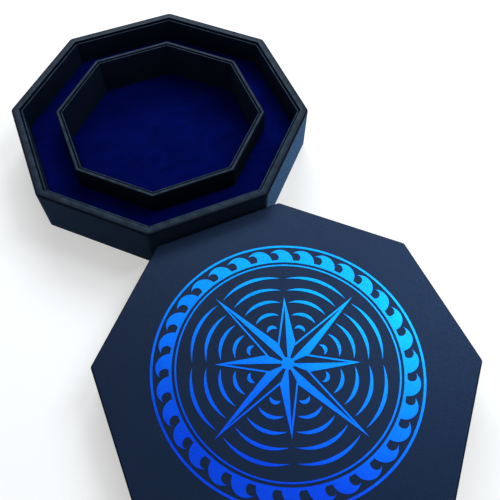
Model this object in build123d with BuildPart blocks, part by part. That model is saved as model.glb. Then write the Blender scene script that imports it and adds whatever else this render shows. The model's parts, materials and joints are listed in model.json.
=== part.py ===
from build123d import *
from math import asin, atan2, cos, degrees, hypot, pi, radians, sin, tan
import os

# Eight-sided dice tray with a lift-off lid, in millimetres, +Z up.
# The tray stands on the origin with its flats square to X and Y.
# The lid lies face up in front of it, towards -Y.

# Tray walls and base
tray_flats = 222.0  # across the covered walls, flat to flat
tray_height = 40.0  # table to rim
tray_corner = 5.0  # rounding of the upright corners
wall_board = 5.0  # thickness of the wall boards
liner_card = 2.2  # thickness of the covered cards inside the walls
liner_drop = 1.5  # from the rim down to the liners' edge
base_thick = 3.0  # thickness of the base board
sheet_thick = 0.8  # thickness of the felt under the base
sheet_inset = 3.0  # from the tray's foot in to the felt's edge

# Coverings and linings
leather = 0.6  # thickness of the leatherette
rim_round = 1.5  # softened outer edge of the rim
edge_round = 0.9  # softened edges of the ring's top
velvet = 1.0  # thickness of the velvet floors
trim_gap = 0.2  # around a lining that is cut to drop in

# Dice channel and the ring inside it
channel_width = 24.2  # between the wall liners and the ring
channel_depth = 21.0  # from the rim down to the channel's velvet
block_gap = 0.4  # between neighbouring foam blocks under the channel
ring_drop = 2.4  # from the rim down to the ring's top
ring_board = 2.0  # thickness of the ring's boards
facing_card = 1.6  # thickness of the covered cards inside the ring
facing_drop = 0.6  # from the ring's top down to the facings' edge
pad_thick = 1.2  # thickness of the foam pad in the well

# Lid
lid_height = 29.0  # table to top, as it lies
lid_clearance = 1.0  # between the closed lid and the tray, on every side
lid_board = 2.8  # thickness of the lid's boards
lid_card = 1.2  # thickness of the covered cards inside its skirt
lining_thick = 0.8  # thickness of the sheet under its top
lid_corner = 3.0  # rounding of the upright corners
lid_edge = 1.2  # softened edge round the top
lid_away = 3.0  # between the tray's front and the lid, as it lies
lid_aside = 7.6  # from the tray's middle sideways to the lid's
lid_turn = 0.7  # how far askew it lies, in degrees

# Foil design on the lid: a compass star among ripples, inside a ring of waves
foil = 0.25  # thickness of the stamped foil
design_radius = 88.0  # outside of the design
rim_line = 1.6  # width of its outer ring
motif_gap = 1.8  # bare leather between neighbouring motifs
wave_length = 15.0  # from one wave to the next, round the ring that they stand on
wave_rise = 8.5  # height of a wave over that ring
wave_ring = 1.8  # width of the ring
fine_line = 1.1  # width of the thin ring and of the rays' outlines
ray_margin = 5.4  # between the thin ring and the tips of the star's long rays
ray_step = 19.0  # how much shorter the rays between them are
star_waist = 15.0  # from the star's middle to the notches between rays
star_hub = 4.2  # radius of the dot at the star's middle
ripple_count = 5  # ripples between two rays
ripple_first = 9.5  # from the notches out to the first ripple
ripple_margin = 6.7  # between the thin ring and the last ripple
ripple_bow = 3.4  # how far a ripple bows out
ripple_swell = 2.4  # width of a ripple at its fullest

# Shape of one wave, from its middle: its tail as a share of its length, the rest as shares of its rise
tail_behind = 0.52
crest_ahead = 0.18
hollow_ahead = 0.27
hollow_height = 0.42
toe_ahead = 0.65
lip_ahead = 0.92
lip_height = 0.62

# What follows from them: distances of the faces from the middle, going inwards
sides = 8
half_turn = 180 / sides
mitre = tan(radians(half_turn))
wall_face = tray_flats / 2
board_face = wall_face - leather
board_back = board_face - wall_board
liner_face = board_back - leather
liner_back = liner_face - liner_card
ring_face = liner_back - channel_width
ring_board_face = ring_face - leather
ring_board_back = ring_board_face - ring_board
facing_face = ring_board_back - leather
facing_back = facing_face - facing_card

# Heights of the tray's layers
board_foot = sheet_thick + leather
board_top = tray_height - leather
floor = sheet_thick + base_thick
liner_top = tray_height - liner_drop
ring_top = tray_height - ring_drop
facing_top = ring_top - facing_drop
channel_floor = tray_height - channel_depth
riser_top = channel_floor - velvet

# The lid's faces, going outwards from the tray that it closes over, and its layers
lid_room = wall_face + lid_clearance
lid_board_back = lid_room + lid_card
lid_board_face = lid_board_back + lid_board
lid_face = lid_board_face + leather
lid_board_top = lid_height - leather
lid_ceiling = lid_board_top - lid_board

tray_plane = Plane.XY
lid_middle = (lid_aside, -(wall_face + lid_away + lid_face))
lid_plane = Plane(lid_middle).rotated((0, 0, lid_turn))

os.makedirs("parts", exist_ok=True)


def keep(piece, name):
    """Label a finished piece and write it to a file of its own."""
    piece.part.label = name
    export_step(piece.part, f"parts/{name}.step")


def octagon(apothem, mode=Mode.ADD):
    """Draw an octagon in the open sketch, its flats square to the sketch's X and Y."""
    RegularPolygon(apothem, sides, major_radius=False, rotation=half_turn, mode=mode)


def panels(name, foot, face, thick, height):
    """Make the mitred panels of a wall: number 1 faces the front, the rest follow anticlockwise."""
    back = face - thick
    for side in range(sides):
        with BuildPart() as panel:
            with BuildSketch(foot.rotated((0, 0, side * 2 * half_turn - 90))):
                Polygon(
                    (face, -face * mitre),
                    (face, face * mitre),
                    (back, back * mitre),
                    (back, -back * mitre),
                )
            extrude(amount=height)
        keep(panel, f"{name}_{side + 1}")


def sheet(name, foot, apothem, thick):
    """Make a flat eight-sided board or lining that lies on the plane foot."""
    with BuildPart() as layer:
        with BuildSketch(foot):
            octagon(apothem)
        extrude(amount=thick)
    keep(layer, name)


# Base of the tray
sheet("base_sheet", tray_plane, wall_face - sheet_inset, sheet_thick)
sheet("base_board", tray_plane.offset(sheet_thick), board_back, base_thick)

# Wall boards, and the thin cards that line them
panels("outer_wall", tray_plane.offset(board_foot), board_face, wall_board, board_top - board_foot)
panels("wall_liner", tray_plane.offset(floor), liner_face, liner_card, liner_top - floor)

# Covering of the walls: up the outside, over the rim, down the inside and turned in under the boards
with BuildPart() as tray_wrap:
    with BuildSketch(tray_plane.offset(sheet_thick)):
        octagon(wall_face)
    extrude(amount=tray_height - sheet_thick)
    fillet(tray_wrap.edges().filter_by(Axis.Z), tray_corner)
    fillet(tray_wrap.faces().sort_by(Axis.Z)[-1].edges(), rim_round)
    with BuildSketch(tray_plane.offset(board_foot)):
        octagon(board_face)
    extrude(amount=board_top - board_foot, mode=Mode.SUBTRACT)
    with BuildSketch(tray_plane.offset(sheet_thick)):
        octagon(board_back)
    extrude(amount=tray_height - sheet_thick, mode=Mode.SUBTRACT)
    with BuildSketch(tray_plane.offset(floor)):
        octagon(board_back)
        octagon(liner_face, mode=Mode.SUBTRACT)
    extrude(amount=tray_height - floor)
    inner_edge = tray_wrap.faces().sort_by(Axis.Z)[-1].inner_wires()[0].edges()
    fillet(inner_edge, leather / 2)
keep(tray_wrap, "tray_wrap")

# Ring between the well and the dice channel: boards, covering and inner facings
panels("ring_wall", tray_plane.offset(floor), ring_board_face, ring_board, ring_top - leather - floor)
panels("ring_facing", tray_plane.offset(floor), facing_face, facing_card, facing_top - floor)

with BuildPart() as ring_wrap:
    with BuildSketch(tray_plane.offset(floor)):
        octagon(ring_face)
        octagon(facing_face, mode=Mode.SUBTRACT)
    extrude(amount=ring_top - floor)
    fillet(ring_wrap.faces().sort_by(Axis.Z)[-1].edges(), edge_round)
    with BuildSketch(tray_plane.offset(floor)):
        octagon(ring_board_face)
        octagon(ring_board_back, mode=Mode.SUBTRACT)
    extrude(amount=ring_top - leather - floor, mode=Mode.SUBTRACT)
keep(ring_wrap, "ring_wrap")

# Raised floor of the dice channel: foam blocks, one to a side, with a velvet ring on them
block_face = liner_back - trim_gap
block_back = ring_face + trim_gap
block_cut = block_gap / 2 / cos(radians(half_turn))

with BuildPart() as channel_riser:
    with BuildSketch(tray_plane.offset(floor)):
        with PolarLocations(0, sides):
            Polygon(
                (block_face, block_cut - block_face * mitre),
                (block_face, block_face * mitre - block_cut),
                (block_back, block_back * mitre - block_cut),
                (block_back, block_cut - block_back * mitre),
            )
    extrude(amount=riser_top - floor)
keep(channel_riser, "channel_riser")

with BuildPart() as channel_velvet:
    with BuildSketch(tray_plane.offset(riser_top)):
        octagon(liner_back - trim_gap)
        octagon(ring_face + trim_gap, mode=Mode.SUBTRACT)
    extrude(amount=velvet)
keep(channel_velvet, "channel_velvet")

# Rolling well: a thin pad with velvet on it
sheet("well_pad", tray_plane.offset(floor), facing_back - trim_gap, pad_thick)
sheet("well_velvet", tray_plane.offset(floor + pad_thick), facing_back - trim_gap, velvet)

# Lid: a top board on a skirt of boards, lined inside
sheet("lid_top", lid_plane.offset(lid_ceiling), lid_board_face, lid_board)
sheet("lid_lining", lid_plane.offset(lid_ceiling - lining_thick), lid_room - trim_gap, lining_thick)
panels("lid_wall", lid_plane.offset(leather), lid_board_face, lid_board, lid_ceiling - leather)
panels("lid_liner", lid_plane, lid_board_back, lid_card, lid_ceiling)

# Covering of the lid: over the top, down the skirt and turned in under its edge
with BuildPart() as lid_wrap:
    with BuildSketch(lid_plane):
        octagon(lid_face)
    extrude(amount=lid_height)
    fillet(lid_wrap.edges().filter_by(Axis.Z), lid_corner)
    fillet(lid_wrap.faces().sort_by(Axis.Z)[-1].edges(), lid_edge)
    with BuildSketch(lid_plane.offset(leather)):
        octagon(lid_board_face)
    extrude(amount=lid_board_top - leather, mode=Mode.SUBTRACT)
    with BuildSketch(lid_plane):
        octagon(lid_board_back)
    extrude(amount=leather, mode=Mode.SUBTRACT)
keep(lid_wrap, "lid_wrap")

# Foil design: its radii, from the outside in
wave_crest = design_radius - rim_line - motif_gap
wave_foot = wave_crest - wave_rise
wave_root = wave_foot - wave_ring
thin_ring = wave_root - motif_gap
inside_ring = thin_ring - fine_line
long_ray = inside_ring - ray_margin
short_ray = long_ray - ray_step
ripple_start = star_waist + ripple_first
ripple_step = (inside_ring - ripple_margin - ripple_bow - ripple_start) / (ripple_count - 1)
wave_count = round(2 * pi * wave_foot / wave_length)
wave_pitch = 360 / wave_count
wave_reach = degrees(wave_rise / wave_foot)  # angle that one rise takes up along the ring
ray_count = 8
ray_turn = 360 / ray_count


def polar(radius, angle):
    """A point at a radius and an angle in degrees."""
    return (radius * cos(radians(angle)), radius * sin(radians(angle)))


def ray_edge(reach, radius):
    """The angle from a ray's middle to its edge at a radius, which is nothing past its tip."""
    notch_x, notch_y = polar(star_waist, ray_turn / 2)
    slope = atan2(notch_y, reach - notch_x)
    return degrees(asin(reach * sin(slope) / radius) - slope) if radius < reach else 0


# One breaking wave: its tail and toe in its ring, a long back over the crest to the lip, a hollow front
with BuildSketch() as wave:
    with BuildLine():
        tail = polar((wave_foot + wave_root) / 2, -tail_behind * wave_pitch)
        toe = polar((wave_foot + wave_root) / 2, toe_ahead * wave_reach)
        crest = polar(wave_crest, crest_ahead * wave_reach)
        lip = polar(wave_foot + lip_height * wave_rise, lip_ahead * wave_reach)
        hollow = polar(wave_foot + hollow_height * wave_rise, hollow_ahead * wave_reach)
        ThreePointArc(tail, crest, lip)
        ThreePointArc(lip, hollow, toe)
        Line(toe, tail)
    make_face()

# The star: each ray has a solid half and a half in outline
with BuildSketch() as star:
    tips = [polar(short_ray if ray % 2 else long_ray, ray * ray_turn) for ray in range(ray_count)]
    notches = [polar(star_waist, (ray + 0.5) * ray_turn) for ray in range(ray_count)]
    Polygon(*[point for pair in zip(tips, notches) for point in pair])
    for (tip_x, tip_y), (notch_x, notch_y) in zip(tips, notches):
        edge_length = hypot(tip_x - notch_x, tip_y - notch_y)
        edge_distance = (tip_x * notch_y - tip_y * notch_x) / edge_length
        inside = 1 - fine_line / edge_distance
        Polygon(
            (0, 0),
            (inside * tip_x, inside * tip_y),
            (inside * notch_x, inside * notch_y),
            mode=Mode.SUBTRACT,
        )
    Circle(star_hub)

# The ripples on both sides of a long ray
with BuildSketch() as ripples:
    for step in range(ripple_count):
        radius = ripple_start + step * ripple_step
        margin = degrees(motif_gap / radius)
        start = polar(radius, ray_edge(long_ray, radius) + margin)
        end = polar(radius, ray_turn - ray_edge(short_ray, radius) - margin)
        with BuildLine():
            ThreePointArc(start, polar(radius + ripple_bow, ray_turn / 2), end)
            ThreePointArc(end, polar(radius + ripple_bow - ripple_swell, ray_turn / 2), start)
        make_face()
    mirror(about=Plane.XZ)

with BuildPart() as lid_foil:
    with BuildSketch(lid_plane.offset(lid_height).rotated((0, 0, half_turn))):
        Circle(design_radius)
        Circle(design_radius - rim_line, mode=Mode.SUBTRACT)
        with PolarLocations(0, wave_count):
            add(wave.sketch)
        with BuildSketch(mode=Mode.PRIVATE) as rings:
            Circle(wave_foot)
            Circle(wave_root, mode=Mode.SUBTRACT)
            Circle(thin_ring)
            Circle(inside_ring, mode=Mode.SUBTRACT)
        add(rings.sketch)
        add(star.sketch)
        with PolarLocations(0, ray_count // 2):
            add(ripples.sketch)
    extrude(amount=foil)
keep(lid_foil, "lid_foil")
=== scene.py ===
import json
from math import atan2, cos, pi, radians, sin, tan

import bmesh
import bpy
from mathutils import Matrix, Vector, noise

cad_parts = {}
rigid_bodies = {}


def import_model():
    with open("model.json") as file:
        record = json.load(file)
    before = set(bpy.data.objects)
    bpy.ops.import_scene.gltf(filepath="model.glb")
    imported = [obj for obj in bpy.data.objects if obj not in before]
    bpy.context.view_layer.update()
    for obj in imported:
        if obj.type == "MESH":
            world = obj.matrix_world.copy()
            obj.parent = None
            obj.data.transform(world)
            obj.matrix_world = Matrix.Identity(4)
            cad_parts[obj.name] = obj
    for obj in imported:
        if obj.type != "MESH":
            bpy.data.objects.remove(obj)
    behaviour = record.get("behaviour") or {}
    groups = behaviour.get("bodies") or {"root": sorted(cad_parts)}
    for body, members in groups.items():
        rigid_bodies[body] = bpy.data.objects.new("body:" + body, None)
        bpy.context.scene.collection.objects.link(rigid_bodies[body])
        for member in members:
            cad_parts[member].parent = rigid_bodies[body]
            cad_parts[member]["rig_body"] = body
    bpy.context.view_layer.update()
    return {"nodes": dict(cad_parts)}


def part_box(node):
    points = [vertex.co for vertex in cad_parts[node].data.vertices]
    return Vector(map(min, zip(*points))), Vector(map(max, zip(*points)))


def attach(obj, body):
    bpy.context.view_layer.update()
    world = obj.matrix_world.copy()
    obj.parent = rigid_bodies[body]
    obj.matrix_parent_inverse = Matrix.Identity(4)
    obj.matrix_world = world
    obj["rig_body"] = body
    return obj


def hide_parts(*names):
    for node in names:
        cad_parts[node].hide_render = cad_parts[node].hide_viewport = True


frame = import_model()
nodes = frame["nodes"]

# Lengths are in metres, colours are linear, and the scale of a pattern is in cells to a metre
mm = 0.001
sides = 8
side_turn = 2 * pi / sides
white = (1, 1, 1, 1)

# Rounded edges: of the cards, first on the side of the groove, and of the foam
liner_rounds = (1.3 * mm, 0.45 * mm)
facing_rounds = (0.95 * mm, 0.3 * mm)
lid_liner_rounds = (0.6 * mm, 0.4 * mm)
card_round = 0.25 * mm
riser_round = 0.7 * mm
pad_round = 0.35 * mm
round_segments = 4
sharp_turn = radians(40)
flat_turn = radians(1)
merge_gap = 0.002 * mm

# Laid cloth: its mesh, its rolled edges and its uneven nap, on thick velvet and on thin cloth
cloth_step = 2.4 * mm
cloth_roll = 1.6 * mm
velvet_drop = 0.55 * mm
velvet_nap = 0.3 * mm
thin_drop = 0.3 * mm
thin_nap = 0.1 * mm
nap_width = 26 * mm
nap_finer = 2.7
nap_finer_share = 0.5
nap_middle = 0.5
nap_swing = 0.33

# Leatherette: its tones, its pebbled grain and its gloss
wrap_tones = ((0.0020, 0.0032, 0.0068, 1), (0.0035, 0.0055, 0.0118, 1))
# The cards' tones are the same leatherette painted about twice as light as the wraps': painted light on the
# faces inside the tray and the lid
lit_card_tones = ((0.0038, 0.0066, 0.0155, 1), (0.0062, 0.0108, 0.0250, 1))
tone_stops = (0.3, 0.72)
tone_scale = 24
leather_grain = 0.75 * mm
leather_depth = 0.09 * mm
card_grain = 0.6 * mm
card_depth = 0.07 * mm
grain_strength = 0.45
grain_wander = 0.7 * mm
wander_scale = 420
crown_edge = 0.28
# How much of the darker tone is painted into the creases between the pebbles: painted shade
crease_share = 0.35
pore_scale = 2600
pore_share = 0.35
grained_gloss = (0.80, 0.92)
smooth_gloss = (0.35, 0.46)
tray_shine = (0.35, 0.60, 1.0, 1)
lid_shine = (0.17, 0.40, 1.0, 1)

# Leatherette: its level tops, by the upward part of a face's normal, painted pale: partly painted top
# light, partly pale where hands have been rubbing
top_slopes = (0.955, 0.998)
worn_top_light_tone = (0.035, 0.057, 0.084, 1)
rub_light_scale = 160
rub_light_stops = (0.38, 0.62)
rub_light_least = 0.4

# Painted highlight across the rim, lighter toward its inner edge: how far in from the outer wall it starts
# and is full, and its least share
rim_light_start = 1.2 * mm
rim_light_full = 4.8 * mm
rim_light_least = 0.15

# Leatherette: the bluish bloom on its outer walls, and how squarely a face looks out to have it
bloom_reach = (0.75, 0.95)
bloom_weight = 0.55
bloom_roughness = 0.3
bloom_tint = (0.22, 0.50, 1.0, 1)

# Velvet: its patches, strokes and pile, and its sheen
velvet_tones = ((0.0001, 0.0009, 0.0220, 1), (0.0004, 0.0040, 0.1000, 1))
velvet_stops = (0.36, 0.64)
patch_scale = 26
patch_swirl = 1.4
stroke_scale = (40, 260, 40)
stroke_turn = 0.6
stroke_share = 0.4
pile_scale = 3200
pile_share = 0.6
pile_strength = 0.7
pile_depth = 0.4 * mm
velvet_roughness = 0.92
velvet_shine = 0.01
velvet_sheen = 0.35
velvet_sheen_roughness = 0.38
velvet_sheen_tint = (0.004, 0.02, 0.40, 1)

# Foil: deep to bright across the lid, broken by a mottle and thin in the creases of the grain
foil_tones = ((0.0, 0.045, 0.62, 1), (0.0, 0.150, 0.80, 1), (0.0, 0.270, 0.80, 1))
foil_stops = (0.2, 0.55, 0.85)
foil_way = radians(45)
foil_fit = 1.5
foil_middle = 0.5
foil_thin = (0.0, 0.030, 0.25, 1)
foil_crease = 0.45
foil_strength = 0.3
foil_metal = 0.92
foil_gloss = (0.3, 0.5)
mottle_scale = 60
mottle_share = 0.16

# Felt, foam and fibreboard: their tones, and the width and depth of their specks
felt_tones = ((0.006, 0.006, 0.007, 1), (0.03, 0.03, 0.034, 1))
felt_speck = 0.5 * mm
felt_depth = 0.2 * mm
foam_tones = ((0.03, 0.03, 0.034, 1), (0.09, 0.09, 0.095, 1))
foam_speck = 0.9 * mm
foam_depth = 0.3 * mm
board_tones = ((0.20, 0.115, 0.055, 1), (0.42, 0.28, 0.16, 1))
board_speck = 0.7 * mm
board_depth = 0.08 * mm
board_layers = (1, 1, 2.5)
speck_stops = (0.5, 1.0)
speck_strength = 0.6
speck_gloss = (0.8, 0.98)
speck_shine = 0.2
blotch_scale = 30
blotch_share = 0.5

# Floor: its size, its look near the object, and where it turns white
floor_size = 6
floor_gap = 0.05 * mm
floor_greys = ((0.80, 0.80, 0.80, 1), (0.82, 0.82, 0.82, 1))
floor_scale = 8
floor_shade = (0.65, 0.65, 0.65, 1)
floor_tint = (1.0, 0.97, 0.94, 1)
floor_glow = 0.42
floor_near = 0.3
floor_far = 1.1

# Light
fill_tint = (0.90, 0.95, 1.0, 1)
fill_strength = 0.42
lamp_tint = (0.88, 0.95, 1.0)
key_place = Vector((0.66, 0.04, 0.85))
key_size = (0.40, 0.60)
key_power = 6
window_place = Vector((0.36, 1.05, 0.85))
window_aim = Vector((0, 0, 0))
window_size = (0.90, 0.40)
window_power = 13

# Camera, as the photograph was taken
camera_aim = Vector((0.02520, -0.12779, 0))
camera_distance = 0.4446
camera_azimuth = radians(-23.95)
camera_elevation = radians(59.46)
camera_roll = radians(1.10)
camera_lens = 41.350
camera_sensor = 36
camera_nearest = 0.01


def shader(tree, kind, inputs=None, **settings):
    """Add a shader node: inputs are values or sockets to join, by name or number."""
    made = tree.nodes.new("ShaderNode" + kind)
    for name, value in settings.items():
        setattr(made, name, value)
    for name, value in (inputs or {}).items():
        if isinstance(value, bpy.types.NodeSocket):
            tree.links.new(value, made.inputs[name])
        else:
            made.inputs[name].default_value = value
    return made


def new_finish(name):
    """Start a material: give back it, its node tree and its Object coordinates."""
    finish = bpy.data.materials.new(name)
    finish.use_nodes = True
    tree = finish.node_tree
    tree.nodes.clear()
    return finish, tree, shader(tree, "TexCoord").outputs["Object"]


def close_finish(tree, surface):
    """Join a surface shader to the material's output."""
    output = shader(tree, "OutputMaterial")
    tree.links.new(surface.outputs[0], output.inputs["Surface"])


def maths(tree, operation, *values):
    """The result of a Math node."""
    return shader(tree, "Math", dict(enumerate(values)), operation=operation).outputs["Value"]


def vector(tree, operation, *values):
    """The vector that a Vector Math node gives."""
    return shader(tree, "VectorMath", dict(enumerate(values)), operation=operation).outputs["Vector"]


def measure(tree, operation, *values):
    """The number that a Vector Math node gives."""
    return shader(tree, "VectorMath", dict(enumerate(values)), operation=operation).outputs["Value"]


def stretch(tree, value, start, end, low=0, high=1, **settings):
    """Map the stretch of a value from start to end to the one from low to high."""
    inputs = {"Value": value, "From Min": start, "From Max": end, "To Min": low, "To Max": high}
    return shader(tree, "MapRange", inputs, **settings).outputs["Result"]


def spread(tree, value, low, high):
    """Map a 0 to 1 value to the stretch from low to high."""
    return stretch(tree, value, 0, 1, low, high)


def clouds(tree, where, scale, detail, roughness=0.5, swirl=0):
    """A cloudy pattern of values round a half."""
    inputs = {
        "Vector": where,
        "Scale": scale,
        "Detail": detail,
        "Roughness": roughness,
        "Distortion": swirl,
    }
    return shader(tree, "TexNoise", inputs).outputs["Fac"]


def ramp(tree, factor, stops, tones):
    """A colour that goes through tones, each at its stop of the factor."""
    made = shader(tree, "ValToRGB", {"Fac": factor})
    elements = made.color_ramp.elements
    while len(elements) < len(stops):
        elements.new(1)
    for element, stop, tone in zip(elements, stops, tones):
        element.position = stop
        element.color = tone
    return made.outputs["Color"]


def blend(tree, first, second, share):
    """Mix a share of a second value into a first."""
    return shader(tree, "Mix", {"Factor": share, "A": first, "B": second}).outputs["Result"]


def tinted(tree, first, second, share):
    """Mix a share of a second colour into a first, by the node's colour sockets, 6 and 7."""
    return shader(tree, "Mix", {"Factor": share, 6: first, 7: second}, data_type="RGBA").outputs[2]


def dented(tree, height, strength, depth):
    """A normal that follows a pattern of heights."""
    bump = shader(tree, "Bump", {"Height": height, "Strength": strength, "Distance": depth})
    return bump.outputs["Normal"]


def from_middle(tree, where, node):
    """The way from a node's middle, and the distance from there to its outer walls."""
    low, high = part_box(node)
    return vector(tree, "SUBTRACT", where, (low + high) / 2), (high - low).x / 2


def level_tops(tree):
    """A mask of the faces that look up, where hands and the stamping plate have smoothed the grain, and
    where the painted top light goes.
    """
    normal = shader(tree, "TexCoord").outputs["Normal"]
    up = shader(tree, "SeparateXYZ", {"Vector": normal}).outputs["Z"]
    return stretch(tree, up, *top_slopes)


def rubbed_top_light(tree, where, tops, strength):
    """A broken mask of the level tops that are painted pale: painted top light, broken up like the marks of
    hands rubbing.
    """
    rubs = clouds(tree, where, rub_light_scale, detail=4, roughness=0.65)
    broken = stretch(tree, rubs, *rub_light_stops, rub_light_least * strength, strength)
    return maths(tree, "MULTIPLY", tops, broken)


def outward(tree, where, node):
    """A mask of a node's outer walls: the faces that look straight away from its middle."""
    out, wall = from_middle(tree, where, node)
    normal = shader(tree, "TexCoord").outputs["Normal"]
    reach = measure(tree, "DOT_PRODUCT", vector(tree, "MULTIPLY", normal, (1, 1, 0)), out)
    start, end = bloom_reach
    return stretch(tree, reach, start * wall, end * wall)


def rim_light_share(tree, where, node):
    """The share of painted top light on an eight-sided rim, as a painted highlight: least at its outer
    wall, full at its inner edge.
    """
    out, wall = from_middle(tree, where, node)
    folded = vector(tree, "ABSOLUTE", out)
    slant = measure(tree, "DOT_PRODUCT", folded, (cos(side_turn), sin(side_turn), 0))
    straight = shader(tree, "SeparateXYZ", {"Vector": folded}).outputs
    reach = maths(tree, "MAXIMUM", maths(tree, "MAXIMUM", straight["X"], straight["Y"]), slant)
    return stretch(tree, reach, wall - rim_light_full, wall - rim_light_start, 1, rim_light_least)


def pebbled(tree, where, grain):
    """The grain of leatherette: 1 on the crowns of its pebbles, 0 in the creases between them."""
    wander = shader(tree, "TexNoise", {"Vector": where, "Scale": wander_scale, "Detail": 2})
    bent = vector(tree, "MULTIPLY_ADD", wander.outputs["Color"], 3 * (grain_wander,), where)
    pebbles = shader(
        tree,
        "TexVoronoi",
        {"Vector": bent, "Scale": 1 / grain, "Randomness": 1},
        feature="DISTANCE_TO_EDGE",
    )
    return stretch(tree, pebbles.outputs["Distance"], 0, crown_edge, interpolation_type="SMOOTHSTEP")


def leatherette(name, grain, depth, tones, shine, level, rub_and_light, rim_of=None, walls_of=None, edge_level=None):
    """Black leatherette: pebbled grain with painted shade in its creases, clouds of tone, level tops
    painted pale as painted top light and by hands rubbing, lightest toward a rim's inner edge, and a bloom
    on a node's walls.

    level is how strong its shine is, and edge_level how strong it is off the level tops.
    """
    finish, tree, where = new_finish(name)
    crowns = pebbled(tree, where, grain)
    pores = clouds(tree, where, pore_scale, detail=3, roughness=0.6)
    height = maths(tree, "MULTIPLY_ADD", pores, pore_share, crowns)
    cloudy = clouds(tree, where, tone_scale, detail=5, roughness=0.55)
    tone = ramp(tree, cloudy, tone_stops, tones)
    # The creases between the pebbles painted darker: painted shade
    crease_shaded = tinted(tree, tone, tones[0], spread(tree, crowns, crease_share, 0))
    tops = level_tops(tree)
    # Painted top light on the level tops, broken up like the pale marks of hands rubbing
    wear_and_top_light = rubbed_top_light(tree, where, tops, rub_and_light)
    # On a rim the pale tops fade out toward the outer wall: a painted highlight along the inner edge
    if rim_of:
        wear_and_top_light = maths(tree, "MULTIPLY", wear_and_top_light, rim_light_share(tree, where, rim_of))
    grained = spread(tree, cloudy, *grained_gloss)
    smooth = spread(tree, cloudy, *smooth_gloss)
    surface = shader(
        tree,
        "BsdfPrincipled",
        {
            "Base Color": tinted(tree, crease_shaded, worn_top_light_tone, wear_and_top_light),
            "Roughness": blend(tree, grained, smooth, tops),
            "Normal": dented(tree, height, grain_strength, depth),
            "Specular IOR Level": level,
            "Specular Tint": shine,
            "Sheen Roughness": bloom_roughness,
            "Sheen Tint": bloom_tint,
        },
    )
    if walls_of:
        bloom = spread(tree, outward(tree, where, walls_of), 0, bloom_weight)
        tree.links.new(bloom, surface.inputs["Sheen Weight"])
    if edge_level is not None:
        tree.links.new(spread(tree, tops, edge_level, level), surface.inputs["Specular IOR Level"])
    close_finish(tree, surface)
    return finish


def velvet(name):
    """Royal blue velvet: a nap that lies in patches and strokes, with a soft sheen."""
    finish, tree, where = new_finish(name)
    patches = clouds(tree, where, patch_scale, detail=4, swirl=patch_swirl)
    brushed = shader(
        tree, "Mapping", {"Vector": where, "Rotation": (0, 0, stroke_turn), "Scale": stroke_scale}
    )
    strokes = clouds(tree, brushed.outputs["Vector"], 1, detail=3)
    pile = clouds(tree, where, pile_scale, detail=2, roughness=0.7)
    lay = blend(tree, patches, strokes, stroke_share)
    tuft = blend(tree, lay, pile, pile_share)
    surface = shader(
        tree,
        "BsdfPrincipled",
        {
            "Base Color": ramp(tree, tuft, velvet_stops, velvet_tones),
            "Roughness": velvet_roughness,
            "Normal": dented(tree, tuft, pile_strength, pile_depth),
            "Specular IOR Level": velvet_shine,
            "Sheen Weight": velvet_sheen,
            "Sheen Roughness": velvet_sheen_roughness,
            "Sheen Tint": velvet_sheen_tint,
        },
    )
    close_finish(tree, surface)
    return finish


def stamped_foil(name, node):
    """Blue stamping foil, deep to bright across a node, with the grain showing through."""
    finish, tree, where = new_finish(name)
    low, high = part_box(node)
    across = (high - low).length / foil_fit
    turned = shader(
        tree,
        "Mapping",
        {
            "Vector": where,
            "Location": (low + high) / 2,
            "Rotation": (0, 0, foil_way),
            "Scale": 3 * (across,),
        },
        vector_type="TEXTURE",
    )
    along = shader(tree, "SeparateXYZ", {"Vector": turned.outputs["Vector"]}).outputs["X"]
    share = maths(tree, "ADD", along, foil_middle)
    mottle = clouds(tree, where, mottle_scale, detail=5, roughness=0.6)
    mixed = maths(tree, "MULTIPLY_ADD", mottle, mottle_share, share)
    leaf = ramp(tree, mixed, foil_stops, foil_tones)
    crowns = pebbled(tree, where, leather_grain)
    surface = shader(
        tree,
        "BsdfPrincipled",
        {
            "Base Color": tinted(tree, leaf, foil_thin, spread(tree, crowns, foil_crease, 0)),
            "Metallic": foil_metal,
            "Roughness": spread(tree, mottle, *foil_gloss),
            "Normal": dented(tree, crowns, foil_strength, leather_depth),
        },
    )
    close_finish(tree, surface)
    return finish


def speckled(name, tones, speck, depth, layers=(1, 1, 1)):
    """A dull fibrous or cellular stuff: felt, foam and fibreboard."""
    finish, tree, where = new_finish(name)
    layered = shader(tree, "Mapping", {"Vector": where, "Scale": layers})
    specks = clouds(tree, layered.outputs["Vector"], 1 / speck, detail=6, roughness=0.7)
    blotches = clouds(tree, where, blotch_scale, detail=3)
    mixed = maths(tree, "MULTIPLY_ADD", blotches, blotch_share, specks)
    surface = shader(
        tree,
        "BsdfPrincipled",
        {
            "Base Color": ramp(tree, mixed, speck_stops, tones),
            "Roughness": spread(tree, specks, *speck_gloss),
            "Normal": dented(tree, specks, speck_strength, depth),
            "Specular IOR Level": speck_shine,
        },
    )
    close_finish(tree, surface)
    return finish


# How pale each leatherette's level tops are painted: partly painted top light, partly hands rubbing
black_leather = leatherette(
    "black_leatherette",
    leather_grain,
    leather_depth,
    wrap_tones,
    tray_shine,
    level=0.06,
    rub_and_light=0.62,
    rim_of="tray_wrap",
    walls_of="tray_wrap",
)
ring_leather = leatherette(
    "ring_leatherette", leather_grain, leather_depth, wrap_tones, tray_shine, level=0.04, rub_and_light=0.75
)
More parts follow.
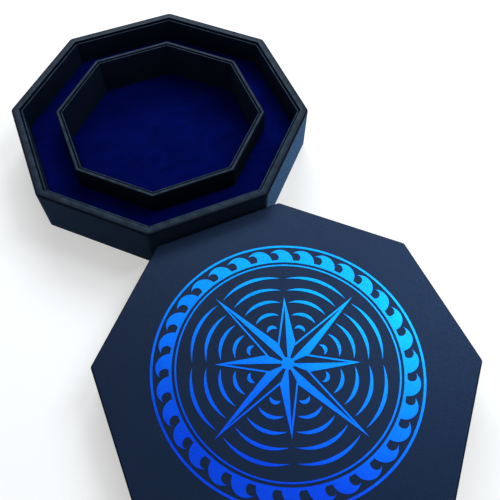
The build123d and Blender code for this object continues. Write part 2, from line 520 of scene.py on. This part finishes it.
# The cards' lighter tones are painted light on the faces inside
card_leather = leatherette(
    "card_leatherette", card_grain, card_depth, lit_card_tones, tray_shine, level=0.02, rub_and_light=1
)
lid_leather = leatherette(
    "lid_leatherette",
    leather_grain,
    leather_depth,
    wrap_tones,
    lid_shine,
    level=0.36,
    rub_and_light=0,
    walls_of="lid_wrap",
    edge_level=0.04,
)
blue_velvet = velvet("blue_velvet")
blue_foil = stamped_foil("blue_foil", "lid_foil")
black_felt = speckled("black_felt", felt_tones, felt_speck, felt_depth)
grey_foam = speckled("grey_foam", foam_tones, foam_speck, foam_depth)
fibreboard = speckled("fibreboard", board_tones, board_speck, board_depth, board_layers)

# Finish of every node, by the start of its name
node_finishes = {
    "tray_wrap": black_leather,
    "ring_wrap": ring_leather,
    "lid_wrap": lid_leather,
    "wall_liner": card_leather,
    "ring_facing": card_leather,
    "lid_liner": card_leather,
    "lid_lining": blue_velvet,
    "lid_foil": blue_foil,
    "channel_velvet": blue_velvet,
    "well_velvet": blue_velvet,
    "channel_riser": grey_foam,
    "well_pad": grey_foam,
    "base_sheet": black_felt,
    "base_board": fibreboard,
    "outer_wall": fibreboard,
    "ring_wall": fibreboard,
    "lid_top": fibreboard,
    "lid_wall": fibreboard,
}
for start, finish in node_finishes.items():
    for name, obj in nodes.items():
        if name.startswith(start):
            obj.material_slots[0].material = finish


def solid_of(node):
    """A bmesh of a node's solid, with its triangles merged and its flat faces joined up."""
    bm = bmesh.new()
    bm.from_mesh(nodes[node].data)
    bmesh.ops.remove_doubles(bm, verts=bm.verts, dist=merge_gap)
    bmesh.ops.dissolve_limit(bm, angle_limit=flat_turn, verts=bm.verts, edges=bm.edges)
    return bm


def piece(bm, name, node, finish):
    """Make a finished bmesh a piece that stands for a node and rides on the node's body."""
    mesh = bpy.data.meshes.new(name)
    bm.to_mesh(mesh)
    bm.free()
    mesh.shade_smooth()
    mesh.materials.append(finish)
    obj = bpy.data.objects.new(name, mesh)
    bpy.context.scene.collection.objects.link(obj)
    weighted = obj.modifiers.new("even_shading", "WEIGHTED_NORMAL")
    weighted.keep_sharp = True
    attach(obj, nodes[node]["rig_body"])
    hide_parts(node)
    return obj


def soften(bm, edges, radius):
    """Round some edges of a bmesh."""
    bmesh.ops.bevel(
        bm,
        geom=edges,
        offset=radius,
        affect="EDGES",
        segments=round_segments,
        profile=0.5,
        material=-1,
        clamp_overlap=True,
    )


def covered_card(node, name, rounds, up):
    """A covered card: its free edge rolled over, most on the side of the groove, the rest nearly sharp."""
    low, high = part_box(node)
    free = high.z if up else low.z
    bm = solid_of(node)
    level = [edge for edge in bm.edges if all(abs(vert.co.z - free) < merge_gap for vert in edge.verts)]
    level.sort(key=lambda edge: edge.calc_length(), reverse=True)
    for edge, radius in zip(level, rounds):
        soften(bm, [edge], radius)
    soften(bm, [edge for edge in bm.edges if edge.calc_face_angle() > sharp_turn], card_round)
    piece(bm, name, node, card_leather)


def foam(node, name, radius):
    """A foam block with its edges softened."""
    bm = solid_of(node)
    soften(bm, bm.edges[:], radius)
    piece(bm, name, node, grey_foam)


# Covered cards: inside the walls, inside the ring and inside the lid's skirt
for side in range(1, sides + 1):
    covered_card(f"wall_liner_{side}", f"wall_card_{side}", liner_rounds, up=True)
    covered_card(f"ring_facing_{side}", f"ring_card_{side}", facing_rounds, up=True)
    covered_card(f"lid_liner_{side}", f"lid_card_{side}", lid_liner_rounds, up=False)

# Foam under the channel and the well
foam("channel_riser", "channel_foam", riser_round)
foam("well_pad", "well_foam", pad_round)


def outline_of(node):
    """An eight-sided node's middle, its turn, and how far its outer and inner flats are from the middle."""
    low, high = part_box(node)
    middle = (low + high) / 2
    corners = [(vert.co - middle).to_2d() for vert in nodes[node].data.vertices]
    furthest = max(corners, key=lambda corner: corner.length)
    nearest = min(corners, key=lambda corner: corner.length)
    turn = (atan2(furthest.y, furthest.x) - side_turn / 2) % side_turn
    to_flat = cos(side_turn / 2)
    return middle, turn, furthest.length * to_flat, nearest.length * to_flat


def cut_along(bm, middle, distance, ways, **settings):
    """Cut a bmesh along the sides of an octagon."""
    for way in ways:
        everything = bm.verts[:] + bm.edges[:] + bm.faces[:]
        bmesh.ops.bisect_plane(
            bm, geom=everything, plane_co=middle + distance * way, plane_no=way, **settings
        )


def nap_lay(place):
    """How far down the nap is pressed at a place, round a half."""
    broad = noise.noise(place / nap_width)
    fine = noise.noise(place * nap_finer / nap_width)
    return nap_middle + nap_swing * (broad + nap_finer_share * fine)


def cloth(node, name, drop, nap, finish, up=True, open_middle=False):
    """A laid sheet the size of a node: its nap uneven, its cut edges rolled over, its face up or down."""
    low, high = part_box(node)
    front, back = (high.z, low.z) if up else (low.z, high.z)
    middle, turn, outer, inner = outline_of(node)
    angles = [turn + side * side_turn for side in range(sides)]
    ways = [Vector((cos(angle), sin(angle), 0)) for angle in angles]
    bm = bmesh.new()
    count = round(2 * outer / cloth_step)
    place = Matrix.Translation((middle.x, middle.y, front)) @ Matrix.Rotation(turn, 4, "Z")
    bmesh.ops.create_grid(bm, x_segments=count, y_segments=count, size=outer, matrix=place)
    cut_along(bm, middle, outer, ways, clear_outer=True)
    if open_middle:
        cut_along(bm, middle, inner, ways)
        hole = [
            face
            for face in bm.faces
            if max(way.dot(face.calc_center_median() - middle) for way in ways) < inner
        ]
        bmesh.ops.delete(bm, geom=hole, context="FACES")
    for width in (cloth_roll, cloth_roll / 3):
        bmesh.ops.inset_region(
            bm, faces=bm.faces[:], thickness=width, use_boundary=True, use_even_offset=True
        )
    for vert in bm.verts:
        reach = max(way.dot(vert.co - middle) for way in ways)
        margin = min(outer - reach, reach - inner) if open_middle else outer - reach
        roll = max(0, 1 - margin / cloth_roll)
        sunk = drop * roll**2 + nap * nap_lay(vert.co) * (1 - roll)
        vert.co.z += -sunk if up else sunk
    rim = [edge for edge in bm.edges if edge.is_boundary]
    for part in bmesh.ops.extrude_edge_only(bm, edges=rim)["geom"]:
        if isinstance(part, bmesh.types.BMVert):
            part.co.z = back
    foot = [edge for edge in bm.edges if edge.is_boundary]
    if open_middle:
        bmesh.ops.bridge_loops(bm, edges=foot)
    else:
        bmesh.ops.holes_fill(bm, edges=foot, sides=0)
    bmesh.ops.recalc_face_normals(bm, faces=bm.faces)
    laid = piece(bm, name, node, finish)


# Velvet in the well, the channel and the lid, and felt under the base
cloth("well_velvet", "well_velvet_sheet", velvet_drop, velvet_nap, blue_velvet)
cloth(
    "channel_velvet",
    "channel_velvet_ring",
    velvet_drop,
    velvet_nap,
    blue_velvet,
    open_middle=True,
)
cloth("lid_lining", "lid_lining_sheet", thin_drop, thin_nap, blue_velvet, up=False)
cloth("base_sheet", "base_felt", thin_drop, thin_nap, black_felt, up=False)


def looking(tree):
    """1 for the rays that look at a thing: the camera's own, and those in a gloss or through glass."""
    path = shader(tree, "LightPath").outputs
    clear = maths(tree, "MAXIMUM", path["Is Camera Ray"], path["Is Transmission Ray"])
    return maths(tree, "MAXIMUM", clear, path["Is Glossy Ray"])


def either(tree, first, second, share):
    """A shader that goes from a first to a second by a share."""
    return shader(tree, "MixShader", {"Fac": share, 1: first.outputs[0], 2: second.outputs[0]})


def pale_floor(name):
    """A pale floor with the object's shadow, white further off and clear from below."""
    finish, tree, where = new_finish(name)
    paper = clouds(tree, where, floor_scale, detail=2)
    plain = shader(tree, "BsdfDiffuse", {"Color": ramp(tree, paper, (0, 1), floor_greys)})
    shaded = shader(tree, "BsdfDiffuse", {"Color": floor_shade})
    glow = shader(tree, "Emission", {"Color": floor_tint, "Strength": floor_glow})
    near = shader(tree, "AddShader", {0: shaded.outputs[0], 1: glow.outputs[0]})
    far = shader(tree, "Emission", {"Color": white, "Strength": 1})
    away = stretch(tree, measure(tree, "LENGTH", where), floor_near, floor_far)
    top = either(tree, plain, either(tree, near, far, away), looking(tree))
    below = shader(tree, "NewGeometry").outputs["Backfacing"]
    close_finish(tree, either(tree, top, shader(tree, "BsdfTransparent"), below))
    return finish


# Floor
bm = bmesh.new()
floor_place = Matrix.Translation((0, 0, -floor_gap))
bmesh.ops.create_grid(bm, x_segments=1, y_segments=1, size=floor_size, matrix=floor_place)
floor_mesh = bpy.data.meshes.new("floor")
bm.to_mesh(floor_mesh)
bm.free()
floor_mesh.materials.append(pale_floor("pale_floor"))
floor = bpy.data.objects.new("floor", floor_mesh)
bpy.context.scene.collection.objects.link(floor)

# World: white where it is seen, a cool fill elsewhere
world = bpy.data.worlds.new("studio")
world.use_nodes = True
tree = world.node_tree
tree.nodes.clear()
fill = shader(tree, "Background", {"Color": fill_tint, "Strength": fill_strength})
backdrop = shader(tree, "Background", {"Color": white, "Strength": 1})
output = shader(tree, "OutputWorld")
tree.links.new(either(tree, fill, backdrop, looking(tree)).outputs[0], output.inputs["Surface"])
bpy.context.scene.world = world


def softbox(name, place, aim, size, power):
    """A soft lamp that looks at a point."""
    lamp = bpy.data.lights.new(name, "AREA")
    lamp.shape = "RECTANGLE"
    lamp.size, lamp.size_y = size
    lamp.energy = power
    lamp.color = lamp_tint
    obj = bpy.data.objects.new(name, lamp)
    obj.location = place
    obj.rotation_euler = (aim - place).to_track_quat("-Z", "Y").to_euler()
    bpy.context.scene.collection.objects.link(obj)


softbox("key", key_place, camera_aim, key_size, key_power)
softbox("window", window_place, window_aim, window_size, window_power)

# Camera
back = Vector(
    (
        sin(camera_azimuth) * cos(camera_elevation),
        -cos(camera_azimuth) * cos(camera_elevation),
        sin(camera_elevation),
    )
)
lens = bpy.data.cameras.new("camera")
lens.lens = camera_lens
lens.sensor_width = camera_sensor
lens.clip_start = camera_nearest
camera = bpy.data.objects.new("camera", lens)
upright = (-back).to_track_quat("-Z", "Y").to_matrix().to_4x4()
camera.matrix_world = (
    Matrix.Translation(camera_aim + camera_distance * back) @ upright @ Matrix.Rotation(camera_roll, 4, "Z")
)
bpy.context.scene.collection.objects.link(camera)
bpy.context.scene.camera = camera
bpy.context.scene.view_settings.view_transform = "Standard"
